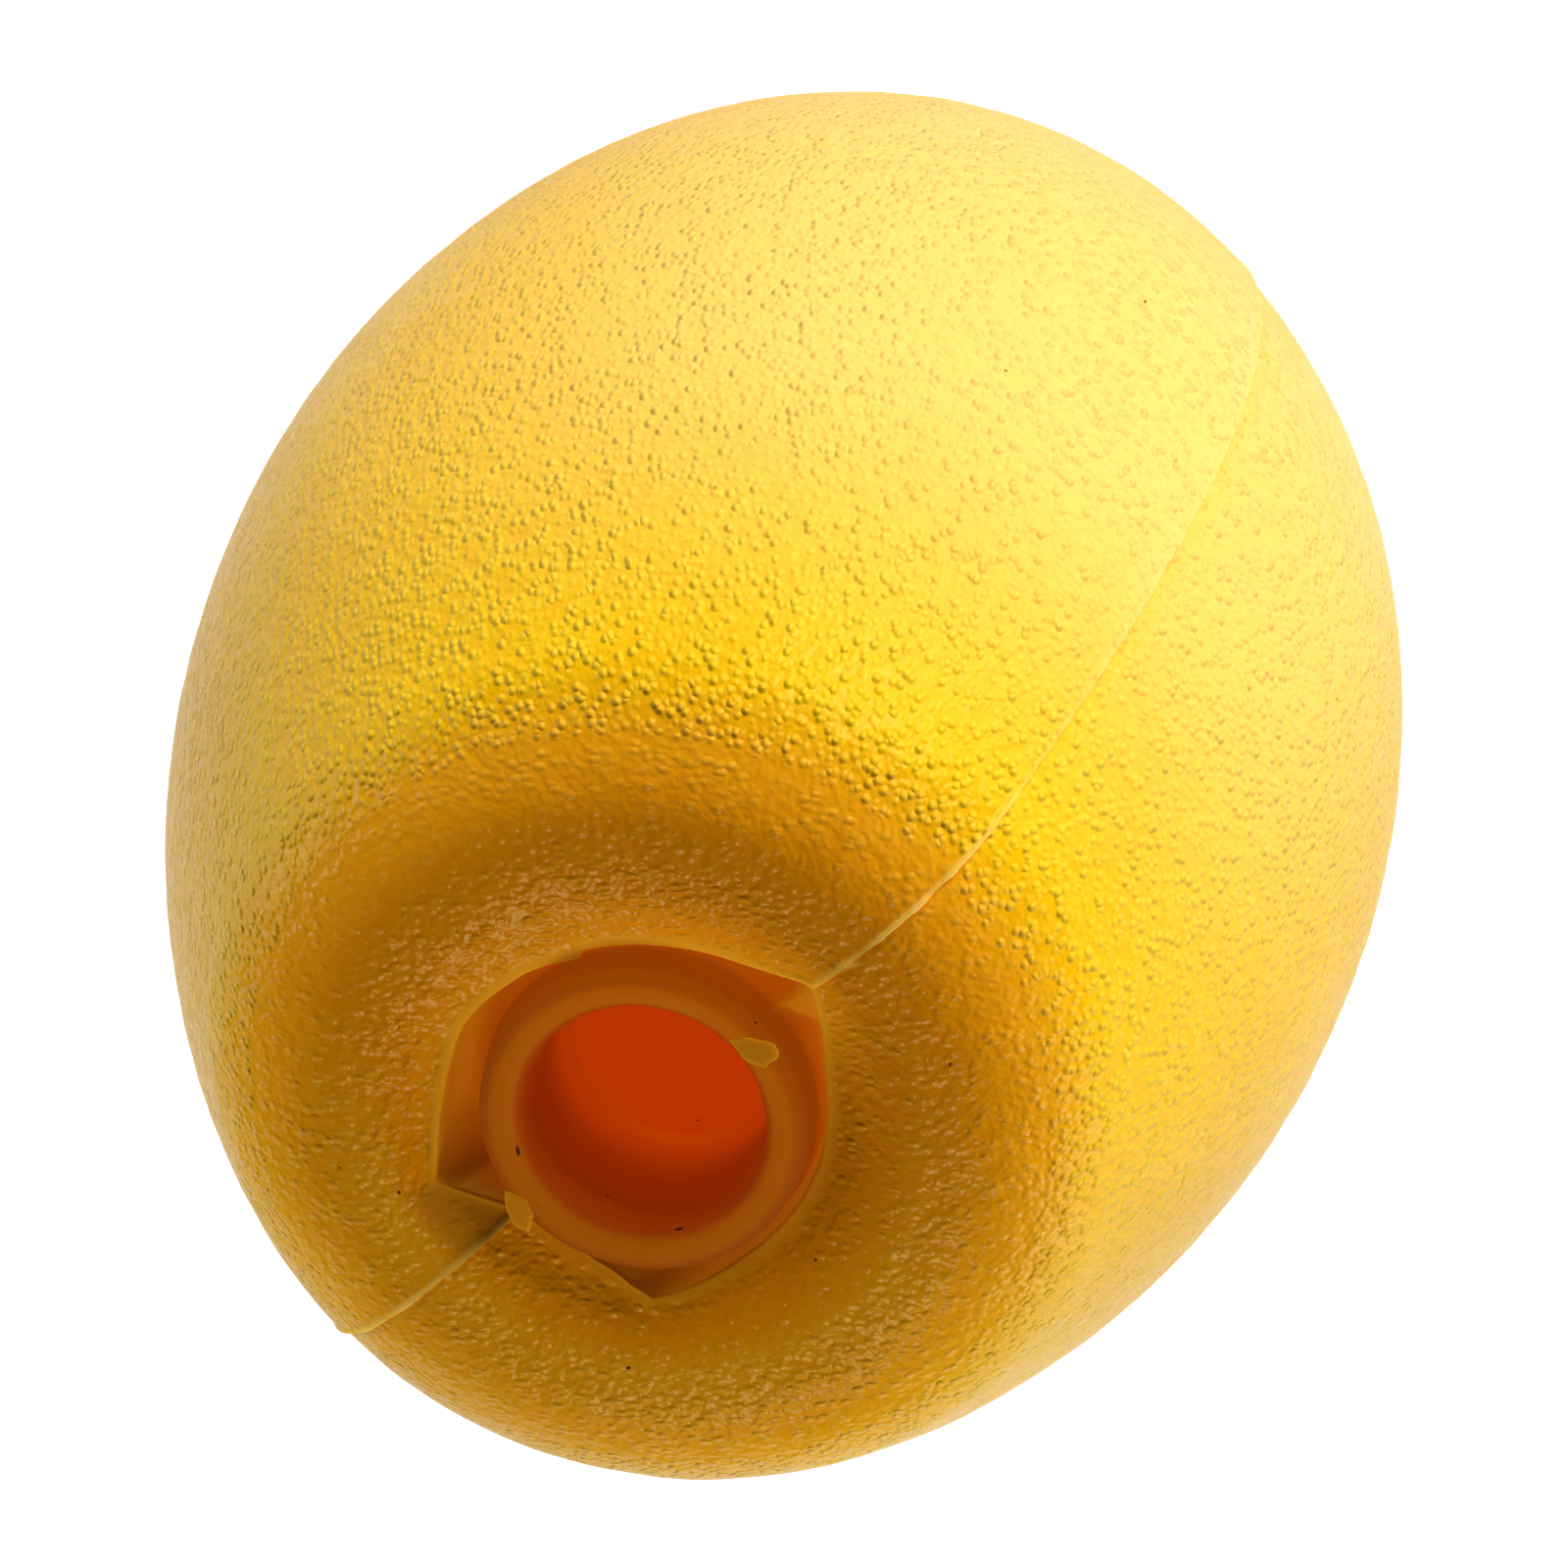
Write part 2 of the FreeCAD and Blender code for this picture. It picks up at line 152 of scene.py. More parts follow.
def end_rows():
    """One end of the float as rows from the middle of the bore out to the widest girth, over
    columns of directions: first half, then second. Each row holds its radius and height, its
    grain, and painted light and shade: a painted shade that turns the skin from yellow to orange,
    a painted shade that turns it red from the dish to the bottom of the bore, painted light that
    stands in for light coming through the wall, and the share of the colour kept where painted
    shade stands in for outside light that is lost."""
    count = turns_per_half
    spread = np.linspace(0.0, 1.0, count + 2)[None, 1:-1]

    def directions(r):
        """Directions of one half at these radii: fixed offsets beside the seam, then even."""
        r = np.asarray(r, float).reshape(-1, 1)
        start = seam_gap / r
        left = seam_offsets[None, :] / r
        even = start + (np.pi - 2.0 * start) * spread
        return np.hstack([left, even, np.pi - left[:, ::-1]])

    columns = 2 * (count + 2 * len(seam_offsets))
    is_second = np.arange(columns) >= columns // 2
    inset = np.where(is_second, seam_step, 0.0)[None, :]
    from_seam = [seam_offsets, np.full(count, far_from_seam), seam_offsets[::-1]]
    from_seam = np.tile(np.concatenate(from_seam), 2)[None, :]

    # direction of each column at the recess, in degrees, and its sides towards +X and +Y
    turn = np.degrees(directions([recess_radius]))[0]
    all_turn = np.concatenate([turn, turn + 180.0])[None, :]
    x_way, y_way = np.cos(np.radians(all_turn)), np.sin(np.radians(all_turn))

    def facing(direction):
        """Cosine of the angle between each column and a direction."""
        return np.cos(np.radians(all_turn - direction))

    # painted light and shade by direction: more painted light through the wall on the lamp's side,
    # a more orange painted shade on the ring towards 40 degrees, and painted fill light in the dish
    # behind the collar
    sun = 1.0 + 0.22 * facing(25.0)
    toward_light = smooth(-0.3, 1.0, facing(55.0))
    ring_orange_shade = 0.18 + 0.09 * smooth(-0.6, 0.4, facing(40.0))
    fill_light_behind_collar = bell(all_turn, 203.0, 18.0) * is_second
    collar_off = collar_shift[0] * x_way + collar_shift[1] * y_way
    mouth_off = mouth_shift[0] * x_way + mouth_shift[1] * y_way

    rows = []

    def add(name, r, z, orange_shade, grain=0.0, red_shade=0.0, through=0.0, painted_lit_share=1.0):
        """Add rows. Each value is one number, a column of rows or a row of columns."""
        values = [np.atleast_2d(v) for v in (r, z, orange_shade, grain, red_shade, through, painted_lit_share)]
        n = max(v.shape[0] for v in values)
        rows.append((name, *[np.broadcast_to(v, (n, columns)) for v in values]))

    def column(values):
        """One value per row."""
        return np.asarray(values, float).reshape(-1, 1)

    # straight bore with the witness line of the core pin, in painted red shade with painted light
    # through its wall
    z = column([0, 14, 28, 42, 54, 64, 72, 77, 79, 79.35, witness_line, 79.9, 81, 83, ledge_start])
    r = bore - witness_depth * bell(z, witness_line, 0.22)
    add("bore", r, z, orange_shade=0.4, red_shade=1.0, through=0.38, painted_lit_share=0.4)
    t = column(np.radians([22, 45, 68, 90]))
    # painted highlight on the ledge towards 222 degrees: less red and more painted light through
    # the wall
    glint = bell(all_turn, 222.0, 30.0)
    r = bore + ledge - ledge * np.cos(t)
    z = ledge_start + ledge * np.sin(t)
    add("ledge", r, z, orange_shade=0.4, red_shade=0.97 - 0.25 * glint, through=0.37 + 0.06 * glint, painted_lit_share=0.4)

    # tapered mouth, the round of its lip and the collar, in painted shade, with painted light
    # through the wall that is stronger towards the lamp, and the collar's outer edge a darker, more
    # orange painted shade
    f = column([0.05, 0.2, 0.35, 0.5, 0.65, 0.8, 0.93])
    z = throat_top + (collar_top - lip_round - throat_top) * f
    r = bore + ledge + (mouth - bore - ledge + mouth_off) * f
    through = 0.2 + 0.16 * (1 - smooth(0.0, 0.5, f)) - 0.03 * f
    add("mouth", r, z, orange_shade=0.4, red_shade=0.95 - 0.45 * f, through=through, painted_lit_share=0.4)
    quarter = column(np.radians([0, 15, 30, 45, 60, 75, 90]))
    r = mouth + lip_round - lip_round * np.cos(quarter) + mouth_off
    z = collar_top - lip_round + lip_round * np.sin(quarter)
    turned_out = smooth(0.45, 1.35, quarter)
    through = 0.15 + (0.19 * sun - 0.15) * turned_out
    add("lip", r, z, orange_shade=0.4, red_shade=0.5 - 0.3 * turned_out, through=through, painted_lit_share=0.4)
    r = collar_crest + collar_off / 2 + mouth_off / 2
    add("top", r, collar_top, orange_shade=0.38, red_shade=0.2, through=0.19 * sun, painted_lit_share=0.4)
    r = collar - collar_edge + collar_edge * np.sin(quarter) + collar_off
    z = collar_top - collar_edge + collar_edge * np.cos(quarter)
    over = smooth(-0.1, 0.75, quarter)
    through = (0.2 - 0.02 * over) * sun
    orange_shade, red_shade, painted_lit_share = 0.38 + 0.14 * over, 0.2 + 0.05 * over, 0.4 - 0.2 * over
    add("edge", r, z, orange_shade=orange_shade, red_shade=red_shade, through=through, painted_lit_share=painted_lit_share)

    # recess: its outline, and how far its floor has climbed back to the dish
    back = turn - 180.0
    edge = np.concatenate([recess_edge(turn, first_outline), recess_edge(back, second_outline)])
    climb = np.concatenate([smooth(149.0, 163.0, turn), smooth(-108.0, -142.0, back)])
    edge, climb = edge[None, :], climb[None, :]

    def past_facet(r):
        """How far a point lies outside the line where the second half's facet drops into the
        recess: from the collar at the +X parting line to the outline at -13 degrees."""
        along, across = 4.1, 5.1
        return ((r * x_way - 18.4) * across + r * y_way * along) / np.hypot(along, across)

    def on_facet(r):
        """1 on the second half's facet beside the +X parting line, 0 off it."""
        return smooth(-1.8, 0.9, past_facet(r)) * is_second * (x_way > 0)

    def recess_height(r, hollow):
        """Height inside the recess: a rounded gutter that climbs to the dish at its ends,
        and the smooth facet of the second half beside the +X parting line."""
        dish = dish_height(r)
        base = gutter_floor + hollow
        level = base + climb * (dish - base)
        face = dish - 0.2 - facet_drop * smooth(4.0, 0.0, past_facet(r))
        return level + on_facet(r) * (face - level)

    # recess: the collar's outer wall, the rounded floor and the cliff up to the outline, in orange
    # painted shade and painted light through the wall; where the floor climbs there is less of the
    # painted light and less darkening
    f = column([0.25, 0.6, 0.85])
    inner = collar_foot + 0.65 * collar_off
    foot = recess_height(inner, 0.9)
    start = collar_top - collar_edge
    z = start + (foot - start) * f
    add("wall", collar + collar_off + 0.4 * f, z, orange_shade=0.52, red_shade=0.25, through=0.2 * sun, painted_lit_share=0.2)
    f = column(np.linspace(0.0, 1.0, 11))
    r = inner + (edge - gutter_gap - inner) * f
    z = recess_height(r, gutter_round * (2 * f - 1) ** 2)
    facet = on_facet(r)
    orange_shade = (0.52 - 0.22 * smooth(0.35, 1.0, f)) * (1 - 0.25 * facet)
    red_shade = 0.2 - 0.08 * np.maximum(facet, f)
    through = (0.24 + 0.02 * f) * sun * (1 - 0.65 * climb)
    add("gutter", r, z, orange_shade=orange_shade, red_shade=red_shade, through=through, painted_lit_share=0.4 + 0.15 * climb)
    low = recess_height(edge - gutter_gap, gutter_round)
    high = dish_height(edge + rim_out) - rim_round * (1 - climb)
    f = column([0.3, 0.7, 1.0])
    r = edge - rim_round + cliff_lean * f
    z = low + (high - low) * f
    red_shade, painted_lit_share = 0.12 - 0.07 * f, 0.5 + 0.2 * f
    through = (0.24 - 0.06 * f) * sun * (1 - 0.65 * climb)
    add("cliff", r, z, orange_shade=0.31, red_shade=red_shade, through=through, painted_lit_share=painted_lit_share)

    # rounded rim of the recess and the dish: a yellower painted highlight along the rim, painted
    # light through the wall towards the lamp and behind the collar, and painted shade in one corner
    # of the first half
    t = column(np.radians([30, 60, 90]))
    r = edge + rim_out - rim_round * np.cos(t)
    z = dish_height(edge + rim_out) - rim_round * (1 - np.sin(t)) * (1 - climb)
    rim_painted_highlight = np.where(is_second, 0.27, 0.22)
    orange_shade = rim_painted_highlight + (0.31 - rim_painted_highlight) * climb
    through = 0.03 + 0.16 * toward_light
    shaded = ~is_second * smooth(158.5, 161.5, all_turn)
    painted_lit_share = 1.0 - corner_shade * shaded
    add("rim", r, z, orange_shade=orange_shade, red_shade=0.05 - 0.05 * np.sin(t), through=through, painted_lit_share=painted_lit_share)
    f = column([0.05, 0.12, 0.2, 0.3, 0.42, 0.54, 0.66, 0.78, 0.9])
    r = edge + rim_out + (ring_inner - edge - rim_out) * f
    orange_shade = rim_painted_highlight + (0.31 - rim_painted_highlight) * np.maximum(smooth(0.05, 0.2, f), climb)
    orange_shade = orange_shade + (ring_orange_shade - orange_shade) * smooth(0.4, 1.1, f)
    through = 0.01 + 0.16 * toward_light + 0.08 * fill_light_behind_collar
    through = through * (1 - smooth(0.0, 0.85, f))
    shaded = shaded * (1 - smooth(26.5, 30.5, r))
    grain = smooth(0.0, 0.14, f) * (1 - 0.6 * shaded)
    painted_lit_share = 1.0 - corner_shade * shaded
    add("dish", r, dish_height(r), orange_shade=orange_shade, grain=grain, through=through, painted_lit_share=painted_lit_share)

    # the ring that the float stands on, the tight shoulder and the long curve of the barrel: orange
    # painted shade on the ring that fades over the shoulder, and painted light through the
    # shoulder, most towards the lamp
    f = column([0.0, 0.5, 1.0])
    r = ring_inner + (ring_outer - inset - ring_inner) * f
    add("ring", r, half_length, orange_shade=ring_orange_shade, grain=1.0)
    t_end = np.arccos((shoulder_foot - (half_length - shoulder)) / shoulder)
    t = column(np.linspace(0.0, t_end, 19)[1:])
    r = ring_outer - inset + shoulder * np.sin(t)
    z = half_length - shoulder + shoulder * np.cos(t)
    through = 0.1 * smooth(0.05, 0.4, t) * (1 - smooth(0.5, 0.95, t))
    through = through * (0.25 + 0.75 * toward_light)
    orange_shade = ring_orange_shade * (1 - smooth(0.1, 1.1, t))
    add("shoulder", r, z, orange_shade=orange_shade, grain=1.0, through=through)
    a = column(np.linspace(np.arcsin(shoulder_foot / long_curve), 0.0, 55)[1:])
    r = body_radius - flash_room - inset - long_curve + long_curve * np.cos(a)
    add("barrel", r, long_curve * np.sin(a), orange_shade=0.0, grain=1.0)

    names = np.concatenate([[row[0]] * row[1].shape[0] for row in rows])
    r, z, *values = (np.vstack([row[k] for row in rows]) for k in range(1, 8))
    tones = dict(zip(("orange_shade", "grain", "red_shade", "through", "painted_lit_share"), values))
    half_turn = directions(r.mean(1))
    return names, r, z, np.hstack([half_turn, np.pi + half_turn]), tones, from_seam, is_second


def both_ends(rows):
    """Rows of the whole float, from one end's: down it and back up without the shared ones."""
    return np.concatenate([rows, rows[-2:0:-1]])


def grid_normals(points):
    """Outward normals of a grid that is closed both ways, from the differences between
    neighbouring rows and neighbouring columns."""
    along = np.roll(points, -1, 0) - np.roll(points, 1, 0)
    round_ = np.roll(points, -1, 1) - np.roll(points, 1, 1)
    n = np.cross(along, round_)
    return n / np.maximum(np.linalg.norm(n, axis=-1, keepdims=True), 1e-9)


def ring_mesh(name, points):
    """A mesh of quads over a grid that closes on itself along both of its directions."""
    rows, columns = points.shape[:2]
    index = np.arange(rows * columns).reshape(rows, columns)
    next_column = np.roll(index, -1, 1)
    quads = [index, next_column, np.roll(next_column, -1, 0), np.roll(index, -1, 0)]
    quads = np.stack(quads, -1).reshape(-1, 4)
    mesh = bpy.data.meshes.new(name)
    mesh.vertices.add(rows * columns)
    mesh.vertices.foreach_set("co", (points * mm).astype(np.float32).ravel())
    mesh.loops.add(quads.size)
    mesh.loops.foreach_set("vertex_index", quads.astype(np.int32).ravel())
    mesh.polygons.add(len(quads))
    mesh.polygons.foreach_set("loop_start", np.arange(0, quads.size, 4, dtype=np.int32))
    mesh.polygons.foreach_set("use_smooth", np.ones(len(quads), bool))
    mesh.update(calc_edges=True)
    mesh.validate()
    return mesh


def paint(mesh, label, values):
    """Keep one number per vertex in the mesh, for the material to read."""
    values = np.ascontiguousarray(values, np.float32).ravel()
    mesh.attributes.new(label, "FLOAT", "POINT").data.foreach_set("value", values)


def placed(name, data):
    """An object for this mesh, lamp or camera, in the scene and at the origin."""
    thing = bpy.data.objects.new(name, data)
    bpy.context.scene.collection.objects.link(thing)
    return thing


names, r, z, angle, tones, from_seam, is_second = end_rows()
names, r, angle = both_ends(names), both_ends(r), both_ends(angle)
z = np.vstack([z, -z[-2:0:-1]])
tones = {label: both_ends(values) for label, values in tones.items()}
skin = np.stack([r * np.cos(angle), r * np.sin(angle), z], -1)
normals = grid_normals(skin)

# slow unevenness of the skin, always inwards
outside = np.isin(names, ["ring", "shoulder", "barrel"])[:, None]
dished = np.isin(names, ["dish", "rim"])[:, None]
waves = plane_waves(skin, 40, 3.6, 9.0, 11)
broad = plane_waves(skin, 12, 22.0, 60.0, 12)
sink = (0.1 + 0.055 * waves + 0.05 * broad) * (outside * 1.0 + dished * 0.8) * tones["grain"]
on_ring = bell(r, 32.0, 5.0) * (outside | dished) * (np.abs(z) > 80.0)
sink = sink + 0.25 * on_ring

# flash along the first half's edge of the parting line, higher and more ragged on the dish
near_seam = np.where(from_seam < 2.0, from_seam, 2.0)
ragged = plane_waves(skin, 24, 1.6, 6.0, 13)
flash = np.where(dished, 0.5, 0.1 + 0.18 * smooth(78.0, 98.0, np.abs(z)))
flash = flash * (1.0 + 0.45 * ragged) * (outside | dished) * ~is_second[None, :]
flash = flash * np.maximum(smooth(24.5, 28.5, r), np.cos(angle) < 0)
fade = smooth(0.3, 0.95, near_seam) * dished + smooth(0.2, 0.75, near_seam) * ~dished
flash = flash * (1.0 - fade)
skin = skin - normals * sink[..., None] + normals * flash[..., None]

# tones: the thin flash is smooth, with less orange painted shade, and its painted highlight makes
# it lighter; painted light makes the barrel's side towards the lamp lighter, more so beside the
# parting line on the first half and less so on the second
thin = np.clip(flash / 0.25, 0.0, 1.0)
tones["orange_shade"] = tones["orange_shade"] * (1.0 - 0.6 * thin)
tones["grain"] = tones["grain"] * (1.0 - thin)
beside = np.exp(-from_seam / 7.0) * np.where(is_second, -0.35, 0.3) * (np.cos(angle) > 0)
lamp_side_painted_light = smooth(0.35, 1.0, np.cos(angle - np.radians(15.0))) + beside
lamp_side_painted_light = lamp_side_painted_light * smooth(98.0, 40.0, np.abs(z))
tones["painted_pale_light"] = np.clip(lamp_side_painted_light * outside + 2.0 * flash * np.where(outside, 1.0, 0.3), 0.0, 1.2)

skin[..., 2] = np.clip(skin[..., 2], -half_length, half_length)
skin = skin + np.array([0.0, 0.0, half_length])
float_skin = placed("float_skin", ring_mesh("float_skin", skin))
for label, values in tones.items():
    paint(float_skin.data, label, values)


class Nodes:
    """A material's nodes, made and joined by short calls."""

    def __init__(self, name):
        self.material = bpy.data.materials.new(name)
        self.material.use_nodes = True
        self.tree = self.material.node_tree
        self.shader = self.tree.nodes["Principled BSDF"]

    def feed(self, node, inputs):
        """Give a node's sockets their numbers, colours or other nodes' outputs."""
        for key, value in inputs.items():
            socket = node.inputs[key]
            if isinstance(value, bpy.types.NodeSocket):
                self.tree.links.new(value, socket)
            elif socket.type == "RGBA":
                socket.default_value = (*value, 1.0)
            else:
                socket.default_value = value

    def add(self, kind, inputs=None, **settings):
        """A new node with these settings and inputs."""
        node = self.tree.nodes.new(kind)
        for key, value in settings.items():
            setattr(node, key, value)
        self.feed(node, inputs or {})
        return node

    def attribute(self, name):
        """The mesh's own numbers of this name."""
        return self.add("ShaderNodeAttribute", attribute_name=name).outputs["Fac"]

    def math(self, operation, *values, clamp=False):
        """One step of arithmetic on numbers and other nodes' outputs."""
        inputs = dict(enumerate(values))
        return self.add("ShaderNodeMath", inputs, operation=operation, use_clamp=clamp).outputs[0]

    def span(self, value, low, high, start=0.0, end=1.0):
        """value from low to high carried smoothly to start to end."""
        inputs = {"Value": value, "From Min": low, "From Max": high, "To Min": start, "To Max": end}
        node = self.add("ShaderNodeMapRange", inputs, interpolation_type="SMOOTHSTEP")
        return node.outputs["Result"]

    def ramp(self, value, stops):
        """value carried through a row of colours."""
        node = self.add("ShaderNodeValToRGB", {"Fac": value})
        while len(node.color_ramp.elements) < len(stops):
            node.color_ramp.elements.new(0.5)
        for element, (place, colour) in zip(node.color_ramp.elements, stops):
            element.position = place
            element.color = (*colour, 1.0)
        return node.outputs["Color"]

    def mix(self, factor, a, b, blend="MIX"):
        """Colour a where factor is 0 and b, or their blend, where it is 1."""
        inputs = {0: factor, 6: a, 7: b}
        return self.add("ShaderNodeMix", inputs, data_type="RGBA", blend_type=blend).outputs[2]


# In metres: the beads of the grain are drawn out along the float on the barrel, and across it
# on the dished ends, past this distance from its middle. They fade out at the change.
dish_grain_from = 0.102
dish_grain_fade = 0.0006
bead_height = 0.00027


def moulded_yellow():
    """Yellow plastic, with light and shade painted from the mesh's numbers: painted shade turns
    the colour orange and then red in the dish, recess and bore, painted light comes out of the
    wall where light would come through it, painted shade darkens the colour where outside light
    is lost, and painted light makes the side towards the lamp lighter.
    """
    n = Nodes("moulded_yellow")
    where = n.add("ShaderNodeTexCoord").outputs["Object"]
    orange_shade, grain, red_shade = (n.attribute(label) for label in ("orange_shade", "grain", "red_shade"))
    # painted shade: the colour runs from yellow to orange towards the recess, and is mixed to red
    # in the bore
    colour = n.ramp(orange_shade, [
        (0.0, (0.98, 0.61, 0.008)),
        (0.14, (0.88, 0.42, 0.02)),
        (0.3, (0.8, 0.29, 0.002)),
        (0.42, (0.78, 0.23, 0.001)),
        (0.58, (0.8, 0.155, 0.001)),
    ])
    red = n.ramp(red_shade, [(0.4, (0.55, 0.085, 0.001)), (1.0, (0.6, 0.07, 0.001))])
    colour = n.mix(n.span(red_shade, 0.2, 0.5), colour, red)

    # slow clouding of the pigment
    cloud = n.add("ShaderNodeTexNoise", {"Vector": where, "Scale": 45.0, "Detail": 2.0})
    tint = n.ramp(cloud.outputs["Fac"], [(0.3, (0.96, 0.93, 0.85)), (0.7, (1.0, 1.0, 1.0))])
    colour = n.mix(1.0, colour, tint, "MULTIPLY")

    # grain of the eroded mould: rounded beads about a millimetre apart, and grit between them
    stretch = {"Vector": where, "Rotation": (0.0, 0.0, np.radians(-38.0)), "Scale": (1.5, 1.0, 1.0)}
    drawn = n.add("ShaderNodeMapping", stretch, vector_type="TEXTURE").outputs[0]
    stretch = {"Vector": where, "Scale": (1.0, 1.0, 1.6)}
    upright = n.add("ShaderNodeMapping", stretch, vector_type="TEXTURE").outputs[0]
    height_up = n.add("ShaderNodeSeparateXYZ", {0: where}).outputs["Z"]
    from_middle = n.math("ABSOLUTE", n.math("SUBTRACT", height_up, half_length * mm))
    on_dish = n.math("GREATER_THAN", from_middle, dish_grain_from)
    place = n.add("ShaderNodeMix", {0: on_dish, 4: upright, 5: drawn}, data_type="VECTOR")
    place = place.outputs[1]
    bead = n.add("ShaderNodeTexVoronoi", {"Vector": place, "Scale": 1000.0})
    own = n.add("ShaderNodeSeparateColor", {"Color": bead.outputs["Color"]}).outputs[0]
    across = n.math("MULTIPLY", bead.outputs["Distance"], bead.outputs["Distance"])
    dome = n.math("SUBTRACT", 1.0, n.math("MULTIPLY", across, 2.3), clamp=True)
    dome = n.math("MULTIPLY", dome, dome)
    tall = n.math("MULTIPLY", n.span(own, 0.0, 1.0, 0.3, 1.7), n.span(on_dish, 0.0, 1.0, 1.0, 0.5))
    change = n.math("ABSOLUTE", n.math("SUBTRACT", from_middle, dish_grain_from))
    dome = n.math("MULTIPLY", dome, n.math("MULTIPLY", tall, n.span(change, 0.0, dish_grain_fade)))
    grit = {"Vector": upright, "Scale": 750.0, "Detail": 1.0, "Roughness": 0.62}
    grit = n.add("ShaderNodeTexNoise", grit).outputs["Fac"]
    rough = n.math("MULTIPLY_ADD", grit, 1.2, -0.2)
    height = n.math("MULTIPLY", n.math("ADD", dome, rough), grain)
    bump = n.add("ShaderNodeBump", {"Strength": 1.0, "Distance": bead_height, "Height": height})

    # painted shade makes the hollows of the grain a darker yellow, and painted light makes the side
    # towards the lamp lighter
    hollow = n.math("MULTIPLY", n.span(height, 0.25, 1.1, 1.0, 0.0), grain)
    colour = n.mix(hollow, colour, n.mix(1.0, colour, (0.98, 0.86, 0.12), "MULTIPLY"))
    painted_pale_light = n.math("MULTIPLY", n.attribute("painted_pale_light"), 0.85)
    colour = n.mix(painted_pale_light, colour, (1.0, 0.63, 0.14))

    # painted light: the wall gives off orange to red light where light would come through it
    through_colour = n.ramp(red_shade, [
        (0.0, (1.0, 0.4, 0.01)),
        (0.2, (1.0, 0.18, 0.002)),
        (0.5, (1.0, 0.1, 0.001)),
        (1.0, (1.0, 0.085, 0.001)),
    ])
    # painted shade: the colour is darkened to black by the share of outside light that is lost; the
    # emission is painted light
    n.feed(n.shader, {
        "Base Color": n.mix(n.attribute("painted_lit_share"), (0.0, 0.0, 0.0), colour),
        "Roughness": n.span(grain, 0.0, 1.0, 0.75, 0.24),
        "Normal": bump.outputs["Normal"],
        "Specular IOR Level": 0.14,
        "Specular Tint": (1.0, 0.8, 0.2),
        "Emission Color": through_colour,
        "Emission Strength": n.attribute("through"),
    })
    return n.material


float_skin.data.materials.append(moulded_yellow())
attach(float_skin, "root")
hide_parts("float_body")

# Torn flash. Two scraps of the same plastic, squeezed out where the mould's parting line
# crosses the collar and torn when the float was pulled free. They lie on the collar's rim.


def tube_faces(index):
    """Quads between the rows of a grid of vertex numbers whose rows are closed rings."""
    beside = np.roll(index, -1, 1)
    return np.stack([index[:-1], index[1:], beside[1:], beside[:-1]], -1).reshape(-1, 4).tolist()


def smooth_mesh(name, points, faces):
    """A smooth-shaded mesh from points in millimetres and lists of vertex numbers."""
    mesh = bpy.data.meshes.new(name)
    mesh.from_pydata((points.reshape(-1, 3) * mm).tolist(), [], faces)
    mesh.polygons.foreach_set("use_smooth", np.ones(len(faces), bool))
    return mesh


def scrap(name, corners, height, thick, seed):
    """A flat scrap of plastic. Round its middle the outline runs straight from corner to corner,
    made ragged by cosines. From the middle to the outline and back below it the thickness falls
    as the square root of 1 - u^4, with u from 0 in the middle to 1 at the outline."""
    rng = np.random.default_rng(seed)
    corners = np.array(corners, float)
    middle = corners.mean(0)
    steps = np.linspace(0.0, 1.0, 30, endpoint=False)[:, None, None]
    path = corners + steps * (np.roll(corners, -1, 0) - corners) - middle
    path = path.transpose(1, 0, 2).reshape(-1, 2)
    way = np.arctan2(path[:, 1], path[:, 0])
    waves = zip((5, 9, 14, 23, 31), rng.uniform(0.0, 6.0, 5))
    torn = sum(np.cos(k * way + phase) / k**0.7 for k, phase in waves)
    path = path * (1.0 + 0.08 * torn)[:, None]
    rings = 17
    u = np.sin(np.linspace(0.02, np.pi - 0.02, rings))[:, None]
    side = np.where(np.arange(rings) <= rings // 2, 1.0, -1.0)[:, None]
    level = height + side * 0.5 * thick * np.sqrt(1.0 - u**4) * np.ones(len(path))
    points = np.dstack([middle + u[..., None] * path, level])
    index = np.arange(rings * len(path)).reshape(rings, -1)
    faces = tube_faces(index) + [index[0].tolist(), index[-1, ::-1].tolist()]
    piece = placed(name, smooth_mesh(name, points, faces))
    # painted shade and light: each scrap is darkened, less at its thin edges, which are also a
    # yellower tone, and gives off a little painted light
    edge = smooth(0.6, 1.0, u)
    painted = {"orange_shade": 0.36 - 0.06 * edge, "painted_lit_share": 0.7 + 0.1 * edge, "through": 0.08}
    for label, values in painted.items():
        paint(piece.data, label, np.broadcast_to(values, index.shape))
    piece.data.materials.append(float_skin.data.materials[0])
    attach(piece, "root")


front_corners = [(14.2, 1.6), (16.2, 0.4), (18.0, -2.0)]
front_corners += [(17.4, -3.3), (15.2, -3.5), (14.0, -1.6)]
scrap("torn_flash_front", front_corners, 210.65, 0.6, 5)
back_corners = [(-18.3, 3.8), (-20.0, 1.6), (-20.6, -0.4)]
back_corners += [(-19.8, -1.9), (-17.6, -0.6), (-16.3, 1.4)]
scrap("torn_flash_back", back_corners, 210.4, 0.8, 6)

# Dirt. Dark grains of sand and scuffed spots, a tenth of a millimetre to a millimetre across,
# caught in the skin.

